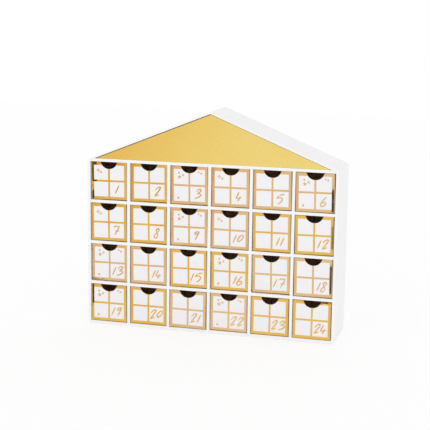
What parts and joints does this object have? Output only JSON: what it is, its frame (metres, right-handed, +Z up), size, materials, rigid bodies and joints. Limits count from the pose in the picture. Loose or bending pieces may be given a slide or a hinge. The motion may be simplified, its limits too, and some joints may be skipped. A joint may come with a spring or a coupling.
{
  "type": "advent calendar",
  "caption": "House-shaped advent calendar: a white board case with a gold foil gable and a grid of small numbered card drawers that pull out at the front.",
  "frame": {"origin": "middle of the footprint of the case, on the surface that it stands on", "axes": "+X to the right seen from the front, +Y from the drawer fronts to the back panel, +Z up to the ridge"},
  "size_m": [0.334, 0.076, 0.2908],
  "materials": {
    "case_board": "rigid board covered in smooth white paper, satin",
    "gable_foil": "card covered in yellow gold foil, glossy with a faint orange peel",
    "drawer_card": "folded card, white printed front and dark brown inside",
    "yellow_foil": "yellow gold foil print",
    "rose_foil": "rose gold foil print"
  },
  "bodies": {
    "case": {"floor_board": "case_board", "left_wall": "case_board", "right_wall": "case_board", "left_roof_board": "case_board", "right_roof_board": "case_board", "back_panel": "case_board", "ceiling_shelf": "case_board", "gable_panel": "gable_foil", "shelf_1": "case_board", "shelf_2": "case_board", "shelf_3": "case_board", "divider_1": "case_board", "divider_2": "case_board", "divider_3": "case_board", "divider_4": "case_board", "divider_5": "case_board"},
    "drawer_01": {"drawer_01": "drawer_card"},
    "drawer_02": {"drawer_02": "drawer_card"},
    "drawer_03": {"drawer_03": "drawer_card"},
    "drawer_04": {"drawer_04": "drawer_card"},
    "drawer_05": {"drawer_05": "drawer_card"},
    "drawer_06": {"drawer_06": "drawer_card"},
    "drawer_07": {"drawer_07": "drawer_card"},
    "drawer_08": {"drawer_08": "drawer_card"},
    "drawer_09": {"drawer_09": "drawer_card"},
    "drawer_10": {"drawer_10": "drawer_card"},
    "drawer_11": {"drawer_11": "drawer_card"},
    "drawer_12": {"drawer_12": "drawer_card"},
    "drawer_13": {"drawer_13": "drawer_card"},
    "drawer_14": {"drawer_14": "drawer_card"},
    "drawer_15": {"drawer_15": "drawer_card"},
    "drawer_16": {"drawer_16": "drawer_card"},
    "drawer_17": {"drawer_17": "drawer_card"},
    "drawer_18": {"drawer_18": "drawer_card"},
    "drawer_19": {"drawer_19": "drawer_card"},
    "drawer_20": {"drawer_20": "drawer_card"},
    "drawer_21": {"drawer_21": "drawer_card"},
    "drawer_22": {"drawer_22": "drawer_card"},
    "drawer_23": {"drawer_23": "drawer_card"},
    "drawer_24": {"drawer_24": "drawer_card"}
  },
  "joints": [
    {"name": "drawer_01_slide", "type": "slide", "parent": "case", "child": "drawer_01", "axis": [0, -1, 0], "range_m": [0, 0.085]},
    {"name": "drawer_02_slide", "type": "slide", "parent": "case", "child": "drawer_02", "axis": [0, -1, 0], "range_m": [0, 0.085]},
    {"name": "drawer_03_slide", "type": "slide", "parent": "case", "child": "drawer_03", "axis": [0, -1, 0], "range_m": [0, 0.085]},
    {"name": "drawer_04_slide", "type": "slide", "parent": "case", "child": "drawer_04", "axis": [0, -1, 0], "range_m": [0, 0.085]},
    {"name": "drawer_05_slide", "type": "slide", "parent": "case", "child": "drawer_05", "axis": [0, -1, 0], "range_m": [0, 0.085]},
    {"name": "drawer_06_slide", "type": "slide", "parent": "case", "child": "drawer_06", "axis": [0, -1, 0], "range_m": [0, 0.085]},
    {"name": "drawer_07_slide", "type": "slide", "parent": "case", "child": "drawer_07", "axis": [0, -1, 0], "range_m": [0, 0.085]},
    {"name": "drawer_08_slide", "type": "slide", "parent": "case", "child": "drawer_08", "axis": [0, -1, 0], "range_m": [0, 0.085]},
    {"name": "drawer_09_slide", "type": "slide", "parent": "case", "child": "drawer_09", "axis": [0, -1, 0], "range_m": [0, 0.085]},
    {"name": "drawer_10_slide", "type": "slide", "parent": "case", "child": "drawer_10", "axis": [0, -1, 0], "range_m": [0, 0.085]},
    {"name": "drawer_11_slide", "type": "slide", "parent": "case", "child": "drawer_11", "axis": [0, -1, 0], "range_m": [0, 0.085]},
    {"name": "drawer_12_slide", "type": "slide", "parent": "case", "child": "drawer_12", "axis": [0, -1, 0], "range_m": [0, 0.085]},
    {"name": "drawer_13_slide", "type": "slide", "parent": "case", "child": "drawer_13", "axis": [0, -1, 0], "range_m": [0, 0.085]},
    {"name": "drawer_14_slide", "type": "slide", "parent": "case", "child": "drawer_14", "axis": [0, -1, 0], "range_m": [0, 0.085]},
    {"name": "drawer_15_slide", "type": "slide", "parent": "case", "child": "drawer_15", "axis": [0, -1, 0], "range_m": [0, 0.085]},
    {"name": "drawer_16_slide", "type": "slide", "parent": "case", "child": "drawer_16", "axis": [0, -1, 0], "range_m": [0, 0.085]},
    {"name": "drawer_17_slide", "type": "slide", "parent": "case", "child": "drawer_17", "axis": [0, -1, 0], "range_m": [0, 0.085]},
    {"name": "drawer_18_slide", "type": "slide", "parent": "case", "child": "drawer_18", "axis": [0, -1, 0], "range_m": [0, 0.085]},
    {"name": "drawer_19_slide", "type": "slide", "parent": "case", "child": "drawer_19", "axis": [0, -1, 0], "range_m": [0, 0.085]},
    {"name": "drawer_20_slide", "type": "slide", "parent": "case", "child": "drawer_20", "axis": [0, -1, 0], "range_m": [0, 0.085]},
    {"name": "drawer_21_slide", "type": "slide", "parent": "case", "child": "drawer_21", "axis": [0, -1, 0], "range_m": [0, 0.085]},
    {"name": "drawer_22_slide", "type": "slide", "parent": "case", "child": "drawer_22", "axis": [0, -1, 0], "range_m": [0, 0.085]},
    {"name": "drawer_23_slide", "type": "slide", "parent": "case", "child": "drawer_23", "axis": [0, -1, 0], "range_m": [0, 0.085]},
    {"name": "drawer_24_slide", "type": "slide", "parent": "case", "child": "drawer_24", "axis": [0, -1, 0], "range_m": [0, 0.085]}
  ]
}
